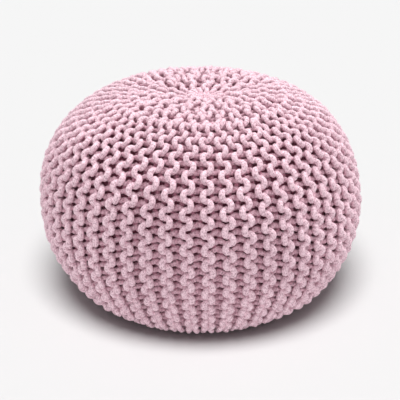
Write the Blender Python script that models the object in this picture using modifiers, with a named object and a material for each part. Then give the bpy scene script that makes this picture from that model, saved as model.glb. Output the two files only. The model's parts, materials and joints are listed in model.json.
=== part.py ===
"""Knitted pouf: one round floor cushion in a thick garter-knit cord, filled and closed.

Metres, +Z up. The origin is on the floor, under the middle of the widest level.
The knit's rows run from the crown's centre to the base's centre, and every two rows
make one upright ridge. The body is a turned shape with those ridges standing out of
it, as far out as the cord's own outer side.
"""

import math

import bmesh
import bpy
from mathutils import Vector

# Driving dimensions
OBJECT_NAME = "knitted_pouf"
RIDGE_COUNT = 52
COLUMNS_PER_RIDGE = 3       # one column in the valley, two on the ridge's top
RIDGE_DEPTH = 0.008         # from a ridge's top down to the valley beside it
FULL_RELIEF_RADIUS = 0.170  # nearer the axis the ridges crowd and their relief fades
FLAT_FADE_HEIGHT = 0.020    # the relief also fades over this height above the floor
STEPS_PER_SECTION = 3       # rings between one named section and the next
MERGE_DISTANCE = 0.0001

# The body's sections from the crown's centre down its side to the edge of the flat base.
# Drift is how far the section's middle lies towards +X, because the filling has settled.
SECTIONS = (
    # section          radius   height   drift
    ("crown centre",    0.0000,  0.3200,  0.0060),
    ("gathered ring",   0.0240,  0.3255,  0.0060),
    ("crown rim",       0.0780,  0.3310,  0.0040),
    ("crown shoulder",  0.1360,  0.3235,  0.0020),
    ("upper side",      0.1985,  0.2880,  0.0000),
    ("high side",       0.2390,  0.2270, -0.0020),
    ("widest",          0.2510,  0.1550,  0.0000),
    ("low side",        0.2405,  0.0905,  0.0010),
    ("lower curve",     0.2115,  0.0370,  0.0020),
    ("base turn",       0.1820,  0.0100,  0.0020),
    ("base edge",       0.1500,  0.0000,  0.0020),
)

CORD_COLOUR = (0.74, 0.47, 0.56, 1.0)
CORD_ROUGHNESS = 0.92


def clear_scene():
    """Remove every object that the scene starts with."""
    for old in list(bpy.data.objects):
        bpy.data.objects.remove(old, do_unlink=True)


def new_collection(name):
    """Make a collection under the scene's own and return it."""
    collection = bpy.data.collections.new(name)
    bpy.context.scene.collection.children.link(collection)
    return collection


def cord_material():
    """Matte dusty pink cotton cord."""
    material = bpy.data.materials.new("pink cotton cord")
    material.use_nodes = True
    shader = material.node_tree.nodes["Principled BSDF"]
    shader.inputs["Base Color"].default_value = CORD_COLOUR
    shader.inputs["Roughness"].default_value = CORD_ROUGHNESS
    shader.inputs["Metallic"].default_value = 0.0
    return material


def smooth_between(before, start, end, after, t):
    """Point at t from start (0) to end (1) on a Catmull-Rom curve through four points."""
    bend = 2 * before - 5 * start + 4 * end - after
    twist = 3 * start - before - 3 * end + after
    return start + 0.5 * t * ((end - before) + t * (bend + t * twist))


def smooth_sections():
    """Rings as vectors (radius, height, drift) on one smooth curve through the sections."""
    named = [Vector((radius, height, drift)) for _, radius, height, drift in SECTIONS]
    crown_mirror = Vector((-named[1].x, named[1].y, named[1].z))
    base_run_on = Vector((2 * named[-1].x - named[-2].x, 0.0, named[-1].z))
    line = [crown_mirror] + named + [base_run_on]
    rings = []
    for index in range(len(named) - 1):
        for step in range(STEPS_PER_SECTION):
            rings.append(smooth_between(*line[index:index + 4], step / STEPS_PER_SECTION))
    rings.append(named[-1])
    return rings


def turned_body(rings, collection):
    """Turn the rings' outline about Z into a closed body with a flat base."""
    outline = bpy.data.meshes.new("outline")
    points = [(ring.x, 0.0, max(ring.y, 0.0)) for ring in rings]
    points.append((0.0, 0.0, 0.0))
    edges = [(index, index + 1) for index in range(len(points) - 1)]
    outline.from_pydata(points, edges, [])
    turned = bpy.data.objects.new("outline", outline)
    collection.objects.link(turned)
    screw = turned.modifiers.new("turn", "SCREW")
    screw.axis = "Z"
    screw.angle = math.tau
    screw.steps = RIDGE_COUNT * COLUMNS_PER_RIDGE
    screw.render_steps = screw.steps
    screw.use_merge_vertices = True
    screw.merge_threshold = MERGE_DISTANCE
    depsgraph = bpy.context.evaluated_depsgraph_get()
    mesh = bpy.data.meshes.new_from_object(turned.evaluated_get(depsgraph))
    bpy.data.objects.remove(turned, do_unlink=True)
    bpy.data.meshes.remove(outline)
    return mesh


def ring_at(radius, height, rings):
    """The ring that a point of the turned body belongs to."""
    return min(rings, key=lambda ring: math.hypot(ring.x - radius, ring.y - height))


def relief_at(radius, height):
    """Depth of the valleys: full on the sides, fading to the crown's centre and the base."""
    by_radius = min(radius / FULL_RELIEF_RADIUS, 1.0)
    by_height = min(height / FLAT_FADE_HEIGHT, 1.0)
    return RIDGE_DEPTH * by_radius * by_height


def shape_ridges(mesh, rings):
    """Draw the valley columns in along the surface normal and set each ring's drift."""
    columns = RIDGE_COUNT * COLUMNS_PER_RIDGE
    shaped = bmesh.new()
    shaped.from_mesh(mesh)
    shaped.normal_update()
    moves = []
    for vertex in shaped.verts:
        radius = math.hypot(vertex.co.x, vertex.co.y)
        move = Vector((ring_at(radius, vertex.co.z, rings).z, 0.0, 0.0))
        column = round(math.atan2(vertex.co.y, vertex.co.x) / math.tau * columns)
        if column % COLUMNS_PER_RIDGE == 0:
            move -= vertex.normal * relief_at(radius, vertex.co.z)
        moves.append(move)
    for vertex, move in zip(shaped.verts, moves):
        vertex.co += move
    bmesh.ops.recalc_face_normals(shaped, faces=shaped.faces[:])
    shaped.to_mesh(mesh)
    shaped.free()


def build_pouf():
    """The knitted cover with its filling, as one solid."""
    collection = new_collection(OBJECT_NAME)
    rings = smooth_sections()
    mesh = turned_body(rings, collection)
    mesh.name = OBJECT_NAME
    shape_ridges(mesh, rings)
    mesh.materials.clear()
    mesh.materials.append(cord_material())
    mesh.shade_smooth()
    pouf = bpy.data.objects.new(OBJECT_NAME, mesh)
    collection.objects.link(pouf)
    return pouf


clear_scene()
build_pouf()
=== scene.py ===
"""Knitted pouf: the looks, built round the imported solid.

A thick cotton cord is knitted in garter stitch. Its rows run from the crown's centre down
the side to the base's centre, and every two rows make one upright ridge. Some ridges stop
short of both centres, as a knitter turns early to shape a ball. The cord of the ridges that
reach a centre is drawn together there. Under the knit lies the filled body.
"""

import json
import math

import bpy
import numpy as np
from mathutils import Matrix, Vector

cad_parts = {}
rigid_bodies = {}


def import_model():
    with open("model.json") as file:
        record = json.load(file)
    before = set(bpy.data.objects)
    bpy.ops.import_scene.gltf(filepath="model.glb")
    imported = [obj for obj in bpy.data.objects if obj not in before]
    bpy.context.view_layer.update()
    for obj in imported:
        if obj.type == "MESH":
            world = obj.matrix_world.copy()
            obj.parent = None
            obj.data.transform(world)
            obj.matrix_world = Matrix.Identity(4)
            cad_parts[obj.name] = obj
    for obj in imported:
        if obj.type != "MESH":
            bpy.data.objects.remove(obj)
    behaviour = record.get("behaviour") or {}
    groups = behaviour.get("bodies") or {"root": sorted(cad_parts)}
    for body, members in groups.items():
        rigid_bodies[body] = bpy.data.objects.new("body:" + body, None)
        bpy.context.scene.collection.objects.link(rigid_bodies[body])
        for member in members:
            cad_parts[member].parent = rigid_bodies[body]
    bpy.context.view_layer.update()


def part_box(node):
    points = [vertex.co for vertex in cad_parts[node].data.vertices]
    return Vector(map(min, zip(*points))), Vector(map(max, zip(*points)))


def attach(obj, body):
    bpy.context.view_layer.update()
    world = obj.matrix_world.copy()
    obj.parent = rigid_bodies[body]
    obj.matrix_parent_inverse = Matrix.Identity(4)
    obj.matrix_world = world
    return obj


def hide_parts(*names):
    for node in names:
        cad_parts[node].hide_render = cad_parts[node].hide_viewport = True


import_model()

NODE = "knitted_pouf"

# ---------------------------------------------------------------- sizes from the frame
node_low, node_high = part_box(NODE)
HALF_WIDTH = (node_high.x - node_low.x) / 2
HEIGHT = node_high.z - node_low.z
FLOOR_Z = node_low.z

# The outer side of the knit, from the crown's centre to the edge of the flat base.
# Radius and drift are shares of the half width, and height is a share of the height.
SECTIONS = (
    # section           radius  height  drift
    ("crown centre",     0.000,  0.967,  0.024),
    ("gathered ring",    0.096,  0.983,  0.024),
    ("crown rim",        0.311,  1.000,  0.016),
    ("crown shoulder",   0.542,  0.977,  0.008),
    ("upper side",       0.791,  0.870,  0.000),
    ("high side",        0.952,  0.686, -0.008),
    ("widest",           1.000,  0.468,  0.000),
    ("low side",         0.958,  0.273,  0.004),
    ("lower curve",      0.843,  0.112,  0.008),
    ("base turn",        0.725,  0.030,  0.008),
    ("base edge",        0.598,  0.000,  0.008),
)

# ---------------------------------------------------------------- the knit
RIDGES = 52                 # upright ridges round the widest level, two rows each
RIDGES_PER_WEDGE = 4        # short rows repeat over this many ridges
FIRST_RIDGE_ANGLE = 0.045   # turn of the whole knit about the upright axis
FIRST_STITCH = 0.24         # stitches from the crown's centre to a row's first whole one
CORD_RADIUS = 0.005         # the cord's, where nothing presses it
STITCH_HIGH = 0.0290        # stitch pitch along a row over the crown and shoulder
STITCH_LOW = 0.0250         # stitch pitch along a row from the widest level down
STITCH_CHANGE = (0.200, 0.320)   # arc lengths from the crown's centre where it changes
ROW_OVERLAP = 0.0103        # how far a row's loops reach over the next row's loops
LOOP_SWELL = 0.154          # share of a stitch by which a loop's neck is drawn in
LOOP_FOURTH = 0.0465        # second wave of the same, a share of it
LOOP_ROUND = 0.0827         # third wave of a loop's reach across, a share of it
DROOP = 0.1121              # share of a stitch by which arcs hang down on an upright side
CROWDED_OVERLAP = 1.1       # most overlap, in row spacings, where the rows are crowded
ARC_LIFT = 0.0055           # how far the arcs lie before or behind the middle of the knit
ARC_SECOND = 0.08           # second wave of the same, a share of it: the loops' legs dive
ARC_THIRD = 0.3133          # third wave of the same, a share of it
ARC_FIFTH = -0.0898         # fifth wave of the same, a share of it
POINTS_PER_STITCH = 18      # along the cord
LEG_THINNING = 0.2625       # share of the cord's thickness pressed away in a loop's legs
FRONT_CROWDING = 0.35       # points gather on the loops' outer arcs
CORD_SIDES = 8              # sides of the cord's cross-section

# Where the ridges of a wedge stop, in stitches from the crown's and the base's centre.
SHORT_ROWS = (0, 2.3, 1.0, 3.6)
SHORT_ROW_SPREAD = 0.45     # stitches by which a ridge may stop earlier or later
SHORT_ROW_FADE = (-0.3, 2.1)  # stitches past its end over which a ridge gets its width
SHORT_ROW_OPENING = 0.8     # stitches past its end over which a short row's loops open
CENTRE_START = 0.02         # stitches from the centre where the gathered cords start
GATHERED = (0.25, 0.9)      # stitches from the centre over which loops open out of them
SECOND_ROW_DEPTH = 2.6      # cord radii from the knit's outer side to a gathered second row
GATHER_FILL = 0.90          # thickness of the gathered cords in shares of their spacing
GATHER_THINNEST = 0.30      # least share of the cord's thickness left at the centre
CROWD_GAP = (0.006, 0.015)  # row spacings between which crowded cords get their thickness
CROWD_THINNING = 0.26       # share of it pressed away where the rows are most crowded
CENTRE_DIP = 0.0050         # how far the gathered cords go down into the centre
CENTRE_DIP_RADIUS = 0.012
TUCK = 0.0040               # how far a short row's ends are tucked under
UNEVEN_REACH = 0.0035       # slow wandering of the whole knit, and how often it changes
UNEVEN_SCALE = 14.0
STITCH_UNEVEN_REACH = 0.0030   # the same from stitch to stitch
STITCH_UNEVEN_SCALE = 55.0
LENGTH_SAMPLES = 1500       # points along the outline at which the ridges are laid out
WAVE_SAMPLES = 200          # points at which the highest place of a loop is looked for
ROWS_PER_RIDGE = 2

SEED = 7
NOISE_MIDDLE = 0.5          # a noise's values lie evenly round it
TINY = 1e-9                 # keeps a length that is divided by from being zero


def smooth_between(before, start, end, after, t):
    """Point at t from start (0) to end (1) on a Catmull-Rom curve through four points."""
    bend = 2 * before - 5 * start + 4 * end - after
    twist = 3 * start - before - 3 * end + after
    return start + 0.5 * t * ((end - before) + t * (bend + t * twist))


class Outline:
    """The knit's outer side as a line in (radius, height, drift), by its arc length."""

    def __init__(self, steps=40):
        scale = np.array([HALF_WIDTH, HEIGHT, HALF_WIDTH])
        named = [np.array(row[1:]) * scale for row in SECTIONS]
        mirror = named[1] * (-1, 1, 1)
        run_on = np.array([2 * named[-1][0] - named[-2][0], 0.0, named[-1][2]])
        line = [mirror] + named + [run_on]
        shares = np.arange(steps)[:, None] / steps
        parts = [smooth_between(*line[i:i + 4], shares) for i in range(len(named) - 1)]
        inward = np.linspace(1, 0, 2 * steps)[:, None]
        base = named[-1] * np.hstack([inward, np.ones_like(inward), np.ones_like(inward)])
        points = np.vstack(parts + [base])
        points[:, 1] = np.maximum(points[:, 1], 0.0)
        step = np.hypot(*np.diff(points[:, :2], axis=0).T)
        self.points = points
        self.length = np.concatenate([[0], np.cumsum(step)])
        self.total = self.length[-1]
        slope = np.gradient(points[:, :2], self.length, axis=0)
        slope /= np.maximum(np.hypot(*slope.T), TINY)[:, None]
        self.normal = np.stack([-slope[:, 1], slope[:, 0]], axis=1)

    def at(self, length, depth=0.0):
        """Radius, height, drift and normal (radius, height) at an arc length."""
        radius, height, drift = (np.interp(length, self.length, c) for c in self.points.T)
        out_r, out_z = (np.interp(length, self.length, c) for c in self.normal.T)
        size = np.hypot(out_r, out_z)
        out_r, out_z = out_r / size, out_z / size
        return radius - depth * out_r, height - depth * out_z, drift, out_r, out_z


def smoothstep(value):
    value = np.clip(value, 0, 1)
    return value * value * (3 - 2 * value)


class Knit:
    """Where each row runs on the body and how its stitches are counted along it."""

    def __init__(self, outline):
        self.outline = outline
        self.lengths = np.linspace(0, outline.total, LENGTH_SAMPLES)
        change = smoothstep((self.lengths - STITCH_CHANGE[0]) / np.ptp(STITCH_CHANGE))
        pitch = STITCH_HIGH + (STITCH_LOW - STITCH_HIGH) * change
        counts = np.concatenate([[0], np.cumsum(np.diff(self.lengths) / pitch[:-1])])
        self.stitches = round(counts[-1])
        self.counts = counts * self.stitches / counts[-1]
        turn = np.linspace(0, math.pi, WAVE_SAMPLES)
        wave = np.cos(turn) + ARC_THIRD * np.cos(3 * turn) + ARC_FIFTH * np.cos(5 * turn)
        wave += ARC_SECOND * np.cos(2 * turn)
        self.depth = ARC_LIFT * wave.max() + CORD_RADIUS
        self.spread = np.random.default_rng(SEED).uniform(-1, 1, RIDGES) * SHORT_ROW_SPREAD
        self.share = np.array([self.width_share(ridge) for ridge in range(RIDGES)])
        total = self.share.sum(0)
        self.width = self.share / total * math.tau
        before = np.cumsum(self.width, axis=0) - self.width
        self.middle = before + self.width / 2 + FIRST_RIDGE_ANGLE

    def short(self, ridge):
        """How many stitches short of both centres a ridge stops."""
        short = SHORT_ROWS[ridge % RIDGES_PER_WEDGE]
        return short + self.spread[ridge] if short else 0

    def width_share(self, ridge):
        """How much of its place a ridge takes along its length, from 1 down to nearly 0."""
        first = self.short(ridge)
        if first == 0:
            return np.ones_like(self.counts)
        reach = np.minimum(self.counts, self.stitches - self.counts)
        return smoothstep((reach - first - SHORT_ROW_FADE[0]) / np.ptp(SHORT_ROW_FADE))

    def row(self, number):
        """Points of one row's middle line, with what the stitches need at each of them."""
        ridge, second = divmod(number, ROWS_PER_RIDGE)
        side = 1.0 if second else -1.0
        first = max(self.short(ridge), CENTRE_START)
        phase = np.arange((math.floor(first) - 1) * POINTS_PER_STITCH,
                          (self.stitches - math.floor(first)) * POINTS_PER_STITCH + 1)
        phase = phase / POINTS_PER_STITCH
        phase -= side * FRONT_CROWDING * np.sin(phase * math.tau) / math.tau
        count = phase + FIRST_STITCH
        kept = (count >= first) & (count <= self.stitches - first)
        count, phase = count[kept], phase[kept]
        reach = np.minimum(count, self.stitches - count)
        length = np.interp(count, self.counts, self.lengths)
        width = np.interp(length, self.lengths, self.width[ridge])
        angle = np.interp(length, self.lengths, self.middle[ridge])
        angle += side * width / (2 * ROWS_PER_RIDGE)
        radius, height, drift, out_r, out_z = self.outline.at(length, self.depth)
        gap = np.abs(radius) * width / ROWS_PER_RIDGE
        free = smoothstep((gap - CROWD_GAP[0]) / np.ptp(CROWD_GAP))
        thickness = 1 - CROWD_THINNING * (1 - free)
        if first == CENTRE_START:
            fullness = smoothstep((reach - GATHERED[0]) / np.ptp(GATHERED))
            spacing = np.abs(radius) * math.tau / (RIDGES / RIDGES_PER_WEDGE)
            squeezed = np.clip(GATHER_FILL * spacing / (2 * CORD_RADIUS), GATHER_THINNEST, 1)
            thickness = squeezed + (thickness - squeezed) * fullness
            dip = CENTRE_DIP * (1 - smoothstep(np.abs(radius) / CENTRE_DIP_RADIUS))
            top = self.depth - CORD_RADIUS * (SECOND_ROW_DEPTH if second else 1)
            rise = (1 - fullness) * (top - dip)
        else:
            fullness = smoothstep((reach - first) / SHORT_ROW_OPENING)
            rise = -TUCK * (1 - fullness)
        place = np.stack([radius * np.cos(angle) + drift, radius * np.sin(angle), height], 1)
        outward = np.stack([out_r * np.cos(angle), out_r * np.sin(angle), out_z], 1)
        along = np.gradient(place, count, axis=0)
        across = np.cross(along, outward)
        across /= np.maximum(np.linalg.norm(across, axis=1), TINY)[:, None]
        fall = np.clip(-along[:, 2] / np.linalg.norm(along, axis=1), 0, 1)
        return dict(place=place, outward=outward, along=along, across=across, gap=gap,
                    phase=phase, side=np.full(len(count), side), fullness=fullness,
                    rise=rise, thickness=thickness, fall=fall)


GUIDE_VECTORS = ("outward", "along", "across")
GUIDE_VALUES = ("gap", "phase", "side", "fullness", "rise", "thickness", "fall")


def row_guides(knit, numbers, name):
    """One mesh of loose edges, a line for each row, with the stitches' attributes."""
    rows = [knit.row(number) for number in numbers]
    mesh = bpy.data.meshes.new(name)
    starts = np.cumsum([0] + [len(row["phase"]) for row in rows])
    edges = [np.stack([np.arange(a, b - 1), np.arange(a + 1, b)], 1)
             for a, b in zip(starts[:-1], starts[1:])]
    mesh.from_pydata(np.vstack([row["place"] for row in rows]), np.vstack(edges), [])
    for key in GUIDE_VECTORS:
        attribute = mesh.attributes.new(key, "FLOAT_VECTOR", "POINT")
        values = np.concatenate([row[key] for row in rows]).astype(np.float32)
        attribute.data.foreach_set("vector", values.ravel())
    for key in GUIDE_VALUES:
        attribute = mesh.attributes.new(key, "FLOAT", "POINT")
        values = np.concatenate([row[key] for row in rows]).astype(np.float32)
        attribute.data.foreach_set("value", values)
    return mesh


# ---------------------------------------------------------------- node helpers
class Graph:
    """Adds nodes to a tree and joins them: a value is a socket or a plain setting."""

    def __init__(self, tree):
        self.tree = tree
        self.ids = {}

    def put(self, socket, value):
        if isinstance(value, bpy.types.NodeSocket):
            self.tree.links.new(value, socket)
        else:
            socket.default_value = value

    def add(self, kind, values=(), **settings):
        node = self.tree.nodes.new(kind)
        for key, value in settings.items():
            setattr(node, key, value)
        for socket, value in dict(values).items():
            self.put(node.inputs[socket], value)
        return node

    def math(self, operation, first, second=0.0):
        return self.add("ShaderNodeMath", {0: first, 1: second}, operation=operation).outputs[0]

    def vector(self, operation, first, second):
        node = self.add("ShaderNodeVectorMath", {0: first}, operation=operation)
        self.put(node.inputs["Scale" if operation == "SCALE" else 1], second)
        return node.outputs[0]

    def stretched(self, value, low, high, new_low=0.0, new_high=1.0):
        values = {"Value": value, "From Min": low, "From Max": high,
                  "To Min": new_low, "To Max": new_high}
        node = self.add("ShaderNodeMapRange", values, interpolation_type="SMOOTHSTEP")
        return node.outputs["Result"]

    def mixed(self, share, first, second, blend="MIX"):
        node = self.add("ShaderNodeMix", data_type="RGBA", blend_type=blend)
        colours = [socket for socket in node.inputs if socket.type == "RGBA"]
        self.put(node.inputs["Factor"], share)
        self.put(colours[0], first)
        self.put(colours[1], second)
        return [socket for socket in node.outputs if socket.type == "RGBA"][0]


class Group(Graph):
    """A node group with named inputs and outputs, for shapes or for shading."""

    def __init__(self, name, kind, inputs, outputs):
        super().__init__(bpy.data.node_groups.new(name, kind))
        face = self.tree.interface
        for label, socket_kind, value in inputs:
            socket = face.new_socket(label, in_out="INPUT", socket_type="NodeSocket" + socket_kind)
            if value is not None:
                socket.default_value = value
            self.ids[label] = socket.identifier
        for label, socket_kind in outputs:
            face.new_socket(label, in_out="OUTPUT", socket_type="NodeSocket" + socket_kind)
        self.start = self.tree.nodes.new("NodeGroupInput")
        self.end = self.tree.nodes.new("NodeGroupOutput")

    def given(self, label):
        return self.start.outputs[label]

    def named(self, label, kind):
        node = self.add("GeometryNodeInputNamedAttribute", {"Name": label}, data_type=kind)
        return node.outputs["Attribute"]

    def store(self, geometry, label, value, kind="FLOAT"):
        values = {"Geometry": geometry, "Name": label, "Value": value}
        node = self.add("GeometryNodeStoreNamedAttribute", values, data_type=kind)
        return node.outputs["Geometry"]

    def finish(self, **results):
        for label, value in results.items():
            self.put(self.end.inputs[label], value)


def knitting_tree():
    """Bends each row's line into garter stitches and gives it the cord's thickness."""
    t = Group("garter rows", "GeometryNodeTree", (
        ("Geometry", "Geometry", None),
        ("Cord Radius", "Float", CORD_RADIUS), ("Sides", "Int", CORD_SIDES),
        ("Row Overlap", "Float", ROW_OVERLAP), ("Loop Swell", "Float", LOOP_SWELL),
        ("Loop Fourth", "Float", LOOP_FOURTH), ("Loop Round", "Float", LOOP_ROUND),
        ("Droop", "Float", DROOP), ("Crowded Overlap", "Float", CROWDED_OVERLAP),
        ("Floor", "Float", FLOOR_Z),
        ("Arc Lift", "Float", ARC_LIFT), ("Arc Second", "Float", ARC_SECOND),
        ("Arc Third", "Float", ARC_THIRD), ("Arc Fifth", "Float", ARC_FIFTH),
        ("Leg Thinning", "Float", LEG_THINNING),
        ("Uneven Reach", "Float", UNEVEN_REACH), ("Uneven Scale", "Float", UNEVEN_SCALE),
        ("Stitch Uneven Reach", "Float", STITCH_UNEVEN_REACH),
        ("Stitch Uneven Scale", "Float", STITCH_UNEVEN_SCALE),
        ("Seed", "Int", SEED), ("Material", "Material", None)), (("Geometry", "Geometry"),))
    angle = t.math("MULTIPLY", t.named("phase", "FLOAT"), math.tau)
    fullness = t.named("fullness", "FLOAT")
    side = t.math("MULTIPLY", fullness, t.named("side", "FLOAT"))
    swing = t.math("COSINE", angle)
    second = t.math("COSINE", t.math("MULTIPLY", angle, 2.0))
    third = t.math("COSINE", t.math("MULTIPLY", angle, 3.0))
    fifth = t.math("COSINE", t.math("MULTIPLY", angle, 5.0))
    # The way out of the knit and into it.
    lift = t.math("ADD", swing, t.math("MULTIPLY", third, t.given("Arc Third")))
    lift = t.math("ADD", lift, t.math("MULTIPLY", fifth, t.given("Arc Fifth")))
    lift = t.math("MULTIPLY", lift, side)
    dive = t.math("MULTIPLY", second, fullness)
    lift = t.math("ADD", lift, t.math("MULTIPLY", dive, t.given("Arc Second")))
    height = t.math("ADD", t.math("MULTIPLY", lift, t.given("Arc Lift")), t.named("rise", "FLOAT"))
    outward = t.vector("SCALE", t.named("outward", "FLOAT_VECTOR"), height)
    # The way along the row.
    neck = t.math("SINE", t.math("MULTIPLY", angle, 2.0))
    fourth = t.math("SINE", t.math("MULTIPLY", angle, 4.0))
    neck = t.math("ADD", neck, t.math("MULTIPLY", fourth, t.given("Loop Fourth")))
    swell = t.math("MULTIPLY", t.given("Loop Swell"), fullness)
    wave = t.math("MULTIPLY", swing, side)
    droop = t.math("MULTIPLY", t.given("Droop"), t.named("fall", "FLOAT"))
    shift = t.math("ADD", t.math("MULTIPLY", neck, swell), t.math("MULTIPLY", wave, droop))
    along = t.vector("SCALE", t.named("along", "FLOAT_VECTOR"), shift)
    # The way across the row, over its neighbour.
    gap = t.named("gap", "FLOAT")
    overlap = t.math("MINIMUM", t.given("Row Overlap"),
                     t.math("MULTIPLY", gap, t.given("Crowded Overlap")))
    reach = t.math("ADD", gap, overlap)
    reach = t.math("MULTIPLY", t.math("MULTIPLY", reach, -0.5), fullness)
    arc = t.math("ADD", swing, t.math("MULTIPLY", third, t.given("Loop Round")))
    sideways = t.vector("SCALE", t.named("across", "FLOAT_VECTOR"),
                        t.math("MULTIPLY", reach, arc))
    offset = t.vector("ADD", t.vector("ADD", along, sideways), outward)
    # The hand's unevenness.
    for kind in ("Uneven", "Stitch Uneven"):
        noise = t.add("ShaderNodeTexNoise", {"Scale": t.given(kind + " Scale"), "Detail": 0.0,
                                             "W": t.given("Seed")}, noise_dimensions="4D")
        uneven = t.vector("SUBTRACT", noise.outputs["Color"], (NOISE_MIDDLE,) * 3)
        amount = t.math("MULTIPLY", t.given(kind + " Reach"), fullness)
        uneven = t.vector("SCALE", uneven, amount)
        offset = t.vector("ADD", offset, uneven)
    # No cord goes below the floor.
    place = t.add("GeometryNodeInputPosition").outputs[0]
    parts = t.add("ShaderNodeSeparateXYZ", {"Vector": t.vector("ADD", place, offset)}).outputs
    lowest = t.math("ADD", t.given("Floor"), t.given("Cord Radius"))
    place = t.add("ShaderNodeCombineXYZ", {"X": parts["X"], "Y": parts["Y"],
                                           "Z": t.math("MAXIMUM", parts["Z"], lowest)})
    bent = t.add("GeometryNodeSetPosition", {"Geometry": t.given("Geometry"),
                                             "Position": place.outputs[0]})
    # The cord's depth in arc lifts; the cord's material darkens the deep places with it as painted
    # shade.
    line = t.store(bent.outputs[0], "cord_depth", t.math("DIVIDE", height, t.given("Arc Lift")))
    # The lines get the cord's round section, thinner in a loop's legs.
    curve = t.add("GeometryNodeMeshToCurve", {"Mesh": line}).outputs[0]
    run = t.add("GeometryNodeSplineParameter").outputs["Length"]
    curve = t.store(curve, "cord_run", run)
    leg = t.math("SUBTRACT", 1.0, t.math("MULTIPLY", swing, swing))
    thinner = t.math("MULTIPLY", t.math("MULTIPLY", leg, t.given("Leg Thinning")), fullness)
    size = t.math("MULTIPLY", t.named("thickness", "FLOAT"), t.math("SUBTRACT", 1.0, thinner))
    ring = t.add("GeometryNodeCurvePrimitiveCircle",
                 {"Resolution": t.given("Sides"), "Radius": t.given("Cord Radius")})
    turn = t.add("GeometryNodeSplineParameter").outputs["Factor"]
    turn = t.math("MULTIPLY", turn, math.tau)
    turn = t.add("ShaderNodeCombineXYZ", {"X": t.math("COSINE", turn), "Y": t.math("SINE", turn)})
    ring = t.store(ring.outputs[0], "cord_turn", turn.outputs[0], "FLOAT_VECTOR")
    cord = t.add("GeometryNodeCurveToMesh", {"Curve": curve, "Profile Curve": ring,
                                             "Scale": size, "Fill Caps": True})
    smooth = t.add("GeometryNodeSetShadeSmooth", {"Geometry": cord.outputs[0]})
    real = t.add("GeometryNodeRealizeInstances", {"Geometry": smooth.outputs[0]})
    painted = t.add("GeometryNodeSetMaterial", {"Geometry": real.outputs[0],
                                                "Material": t.given("Material")})
    t.finish(Geometry=painted.outputs[0])
    return t


def grown(guide, tree, values, name):
    """Run a tree on a guide mesh and keep the result as a plain mesh piece."""
    piece = bpy.data.objects.new(name, guide)
    bpy.context.scene.collection.objects.link(piece)
    modifier = piece.modifiers.new("shape", "NODES")
    modifier.node_group = tree.tree
    for label, value in values.items():
        modifier[tree.ids[label]] = value
    depsgraph = bpy.context.evaluated_depsgraph_get()
    mesh = bpy.data.meshes.new_from_object(piece.evaluated_get(depsgraph))
    piece.modifiers.remove(modifier)
    for key in GUIDE_VECTORS + GUIDE_VALUES:
        mesh.attributes.remove(mesh.attributes[key])
    piece.data = mesh
    mesh.name = name
    bpy.data.meshes.remove(guide)
    return piece


# ---------------------------------------------------------------- materials
CORD_PINK = (0.90, 0.634, 0.716, 1)
CORD_PAINTED_SHADE_PINK = (0.52, 0.228, 0.307, 1)    # painted shade: the cord's pink darkened where it runs behind the other loops
# Painted shade: the filled body is dark so that the gaps between the cords look shadowed.
FILLING_SHADE_PINK = (0.30, 0.086, 0.137, 1)
SHEEN_PINK = (1.0, 0.85, 0.90, 1)
FLOOR_GREY = (0.58, 0.58, 0.58, 1)

STRANDS_ROUND = 5.0         # braided strands round the cord
BRAID_PITCH = 0.0075        # length of the cord over which a strand crosses its neighbours
BRAID_WOBBLE = 2.5          # how far the mottling bends the braid, in radians
BRAID_HEIGHT = 0.25         # shares of the braid, mottling and fibres in the surface
MOTTLE_HEIGHT = 1.5
FIBRE_HEIGHT = 0.35
FIBRE_SCALE = 1100.0
MOTTLE_SCALE = 380.0
DYE_SCALE = 9.0
NOISE_ENDS = (0.3, 0.7)     # a noise seldom leaves this range
SURFACE_ENDS = (0.62, 1.33)   # heights of the surface with the darkest and palest shade
SURFACE_SHADES = (0.50, 1.16)
DYE_SHADES = (0.95, 1.04)
PAINTED_SHADE_ENDS = (-0.985, 0.609)  # heights, in arc lifts, between which the painted shade of the deep places gives way to the own pink
RED_POWER = 0.80            # dark places lose less red and blue than green
BLUE_POWER = 0.92
FIBRE_ROUGHNESS = (0.85, 1.0)
SURFACE_DEPTH = 0.0013      # height of the surface's relief
SHEEN_WEIGHT = 0.25
SHEEN_ROUGHNESS = 0.6
CORD_SPECULAR = 0.25
FLOOR_ROUGHNESS = 0.9


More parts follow.
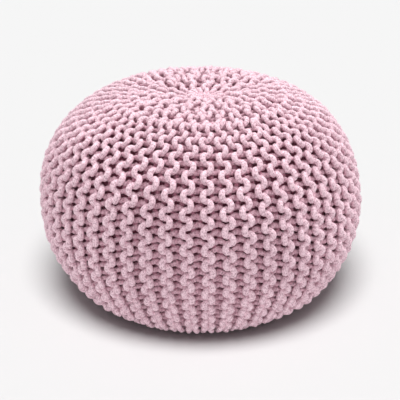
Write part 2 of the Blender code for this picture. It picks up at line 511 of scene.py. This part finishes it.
def cotton_group():
    """Braided cotton cord: its small stitches, soft fibres and uneven dye, with painted shade
    where it lies deep in the knit.
    """
    g = Group("cotton cord", "ShaderNodeTree", (
        ("Colour", "Color", None), ("Painted Shade Colour", "Color", None),
        ("Strands Round", "Float", STRANDS_ROUND), ("Braid Pitch", "Float", BRAID_PITCH),
        ("Fibre Scale", "Float", FIBRE_SCALE), ("Mottle Scale", "Float", MOTTLE_SCALE)),
        (("Colour", "Color"), ("Height", "Float"), ("Roughness", "Float")))
    turn = g.add("ShaderNodeAttribute", attribute_name="cord_turn").outputs["Vector"]
    parts = g.add("ShaderNodeSeparateXYZ", {"Vector": turn}).outputs
    run = g.add("ShaderNodeAttribute", attribute_name="cord_run").outputs["Fac"]
    depth = g.add("ShaderNodeAttribute", attribute_name="cord_depth").outputs["Fac"]
    place = g.add("ShaderNodeTexCoord").outputs["Object"]
    mottle = g.add("ShaderNodeTexNoise", {"Vector": place, "Scale": g.given("Mottle Scale"),
                                          "Detail": 2.0, "Roughness": 0.6}).outputs["Fac"]
    fibre = g.add("ShaderNodeTexNoise", {"Vector": place, "Scale": g.given("Fibre Scale"),
                                         "Detail": 3.0, "Roughness": 0.65}).outputs["Fac"]
    dye = g.add("ShaderNodeTexNoise", {"Vector": place, "Scale": DYE_SCALE,
                                       "Detail": 2.0}).outputs["Fac"]
    round_angle = g.math("ARCTAN2", parts["Y"], parts["X"])
    wobble = g.math("MULTIPLY", g.math("SUBTRACT", mottle, NOISE_MIDDLE), BRAID_WOBBLE)
    round_wave = g.math("MULTIPLY", round_angle, g.given("Strands Round"))
    run_wave = g.math("MULTIPLY", g.math("DIVIDE", run, g.given("Braid Pitch")), math.tau)
    left = g.math("SINE", g.math("ADD", g.math("ADD", round_wave, run_wave), wobble))
    right = g.math("SINE", g.math("ADD", g.math("SUBTRACT", round_wave, run_wave), wobble))
    braid = g.math("MULTIPLY", left, right)
    braid = g.stretched(braid, -1.0, 1.0)
    mottled = g.math("MULTIPLY", mottle, MOTTLE_HEIGHT)
    mottled = g.math("ADD", mottled, g.math("MULTIPLY", fibre, FIBRE_HEIGHT))
    height = g.math("ADD", g.math("MULTIPLY", braid, BRAID_HEIGHT), mottled)
    shade = g.stretched(height, *SURFACE_ENDS, *SURFACE_SHADES)
    dyed = g.math("MULTIPLY", shade, g.stretched(dye, *NOISE_ENDS, *DYE_SHADES))
    # Painted shade: the colour goes towards the shade pink where the cord lies deep in the knit.
    painted_shade = g.stretched(depth, *PAINTED_SHADE_ENDS)
    colour = g.mixed(painted_shade, g.given("Painted Shade Colour"), g.given("Colour"))
    warm = g.add("ShaderNodeCombineColor", {"Red": g.math("POWER", dyed, RED_POWER),
                                            "Green": dyed,
                                            "Blue": g.math("POWER", dyed, BLUE_POWER)})
    colour = g.mixed(1.0, colour, warm.outputs[0], "MULTIPLY")
    roughness = g.stretched(fibre, *NOISE_ENDS, *FIBRE_ROUGHNESS)
    g.finish(Colour=colour, Height=height, Roughness=roughness)
    return g


def cord_material(name, group, colour, deep):
    material = bpy.data.materials.new(name)
    material.use_nodes = True
    g = Graph(material.node_tree)
    shader = material.node_tree.nodes["Principled BSDF"]
    cotton = g.add("ShaderNodeGroup", node_tree=group.tree)
    g.put(cotton.inputs["Colour"], colour)
    # the colour of the painted shade in the knit's deep places
    g.put(cotton.inputs["Painted Shade Colour"], deep)
    bump = g.add("ShaderNodeBump", {"Strength": 1.0, "Distance": SURFACE_DEPTH,
                                    "Height": cotton.outputs["Height"]})
    g.put(shader.inputs["Base Color"], cotton.outputs["Colour"])
    g.put(shader.inputs["Roughness"], cotton.outputs["Roughness"])
    g.put(shader.inputs["Normal"], bump.outputs["Normal"])
    shader.inputs["Sheen Weight"].default_value = SHEEN_WEIGHT
    shader.inputs["Sheen Roughness"].default_value = SHEEN_ROUGHNESS
    shader.inputs["Sheen Tint"].default_value = SHEEN_PINK
    shader.inputs["Specular IOR Level"].default_value = CORD_SPECULAR
    return material


def plain_material(name, colour, roughness):
    material = bpy.data.materials.new(name)
    material.use_nodes = True
    shader = material.node_tree.nodes["Principled BSDF"]
    shader.inputs["Base Color"].default_value = colour
    shader.inputs["Roughness"].default_value = roughness
    shader.inputs["Specular IOR Level"].default_value = 0.0
    return material


BODY_RISE = 0.0056          # how far the filled body comes up into the knit's inner side
BODY_SIDES = 104
BODY_RINGS = 60
PANELS = 5                  # pieces into which the knit's wedges are shared out


def body_mesh(outline, depth, name, sides=BODY_SIDES, steps=BODY_RINGS):
    """The filled body under the knit: the outline turned, a little inside the cord."""
    lengths = np.linspace(0, outline.total, steps)[1:-1]
    radius, height, drift, _, _ = outline.at(lengths, depth)
    angles = np.arange(sides) / sides * math.tau
    points = np.stack([np.outer(radius, np.cos(angles)) + drift[:, None],
                       np.outer(radius, np.sin(angles)),
                       np.outer(height, np.ones(sides))], 2).reshape(-1, 3)
    rings = len(lengths)
    _, top, top_drift, _, _ = outline.at(0.0, depth)
    _, bottom, bottom_drift, _, _ = outline.at(outline.total, depth)
    points = np.vstack([points, [[top_drift, 0, top], [bottom_drift, 0, bottom]]])
    faces = []
    for i in range(rings - 1):
        for j in range(sides):
            k = (j + 1) % sides
            faces.append((i * sides + j, (i + 1) * sides + j, (i + 1) * sides + k, i * sides + k))
    for j in range(sides):
        k = (j + 1) % sides
        faces.append((rings * sides, j, k))
        faces.append((rings * sides + 1, (rings - 1) * sides + k, (rings - 1) * sides + j))
    mesh = bpy.data.meshes.new(name)
    mesh.from_pydata(points.tolist(), [], faces)
    mesh.shade_smooth()
    return mesh


outline = Outline()
knit = Knit(outline)
tree = knitting_tree()
cotton = cotton_group()
cord = cord_material("pink cotton cord", cotton, CORD_PINK, CORD_PAINTED_SHADE_PINK)
# The filled body's dark pink is painted shade seen through the gaps of the knit.
filling = cord_material("filling cloth in painted shade", cotton, FILLING_SHADE_PINK, FILLING_SHADE_PINK)
pieces = []
wedges = RIDGES // RIDGES_PER_WEDGE
edges = [round(i * wedges / PANELS) * RIDGES_PER_WEDGE for i in range(PANELS + 1)]
for index in range(PANELS):
    numbers = range(ROWS_PER_RIDGE * edges[index], ROWS_PER_RIDGE * edges[index + 1])
    guide = row_guides(knit, numbers, "rows")
    piece = grown(guide, tree, {"Material": cord}, f"knit_panel_{index + 1}")
    pieces.append(piece)
body_shape = body_mesh(outline, 2 * knit.depth - BODY_RISE, "filled_body")
body = bpy.data.objects.new("filled_body", body_shape)
bpy.context.scene.collection.objects.link(body)
body_shape.materials.append(filling)
pieces.append(body)
for piece in pieces:
    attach(piece, "root")
    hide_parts(NODE)

# ---------------------------------------------------------------- floor, light, camera
FLOOR_HALF = 8.0
SKY_STRENGTH = 0.92
# The pouf and the floor have their own lights.
POUF_LIGHTS = (
    # name             towards               width  strength
    ("high key",       (0.45, 0.30, 0.84),      20, 2.35),
    ("back left key",  (-0.45, 0.35, 0.82),     30, 1.2),
    ("front fill",     (0.0, -0.68, 0.73),     150, 2.75),
)
FLOOR_LIGHTS = (
    ("floor light",    (0.0, -0.37, 0.93),      30, 4.4),
    ("floor fill",     (0.0, 0.0, 1.0),        170, 0.9),
)
VIEW_ELEVATION = math.radians(24.9)
VIEW_DISTANCE = 7.8 * HALF_WIDTH
VIEW_AIM_HEIGHT = 0.55 * HALF_WIDTH
VIEW_LENS = 111.5
VIEW_SHIFT = (-0.0015, 0.0103)

floor_mesh = bpy.data.meshes.new("floor")
floor_mesh.from_pydata([(x * FLOOR_HALF, y * FLOOR_HALF, FLOOR_Z) for x, y in
                        ((-1, -1), (1, -1), (1, 1), (-1, 1))], [], [(0, 1, 2, 3)])
floor = bpy.data.objects.new("floor", floor_mesh)
bpy.context.scene.collection.objects.link(floor)
floor_mesh.materials.append(plain_material("pale floor", FLOOR_GREY, FLOOR_ROUGHNESS))

# The sky is only seen: it lights nothing.
world = bpy.data.worlds.new("studio")
bpy.context.scene.world = world
world.use_nodes = True
sky = world.node_tree.nodes["Background"]
sky.inputs["Color"].default_value = (1, 1, 1, 1)
sky.inputs["Strength"].default_value = SKY_STRENGTH
world.cycles_visibility.diffuse = False
world.cycles_visibility.glossy = False


def soft_sun(name, towards, angle, strength, lit):
    """A wide sun that lights only the objects of one collection."""
    data = bpy.data.lights.new(name, "SUN")
    data.angle = math.radians(angle)
    data.energy = strength
    lamp = bpy.data.objects.new(name, data)
    lamp.rotation_euler = Vector(towards).to_track_quat("Z", "Y").to_euler()
    bpy.context.scene.collection.objects.link(lamp)
    lamp.light_linking.receiver_collection = lit


for label, lights, lit_objects in (("pouf", POUF_LIGHTS, pieces),
                                   ("floor", FLOOR_LIGHTS, [floor])):
    lit = bpy.data.collections.new("lit as the " + label)
    for item in lit_objects:
        lit.objects.link(item)
    for light in lights:
        soft_sun(*light, lit)

camera_data = bpy.data.cameras.new("camera")
camera_data.lens = VIEW_LENS
camera_data.shift_x, camera_data.shift_y = VIEW_SHIFT
camera = bpy.data.objects.new("camera", camera_data)
back = Vector((0, -math.cos(VIEW_ELEVATION), math.sin(VIEW_ELEVATION)))
camera.location = Vector((0, 0, VIEW_AIM_HEIGHT + FLOOR_Z)) + back * VIEW_DISTANCE
camera.rotation_euler = back.to_track_quat("Z", "Y").to_euler()
bpy.context.scene.collection.objects.link(camera)
bpy.context.scene.camera = camera
bpy.context.scene.view_settings.view_transform = "Standard"
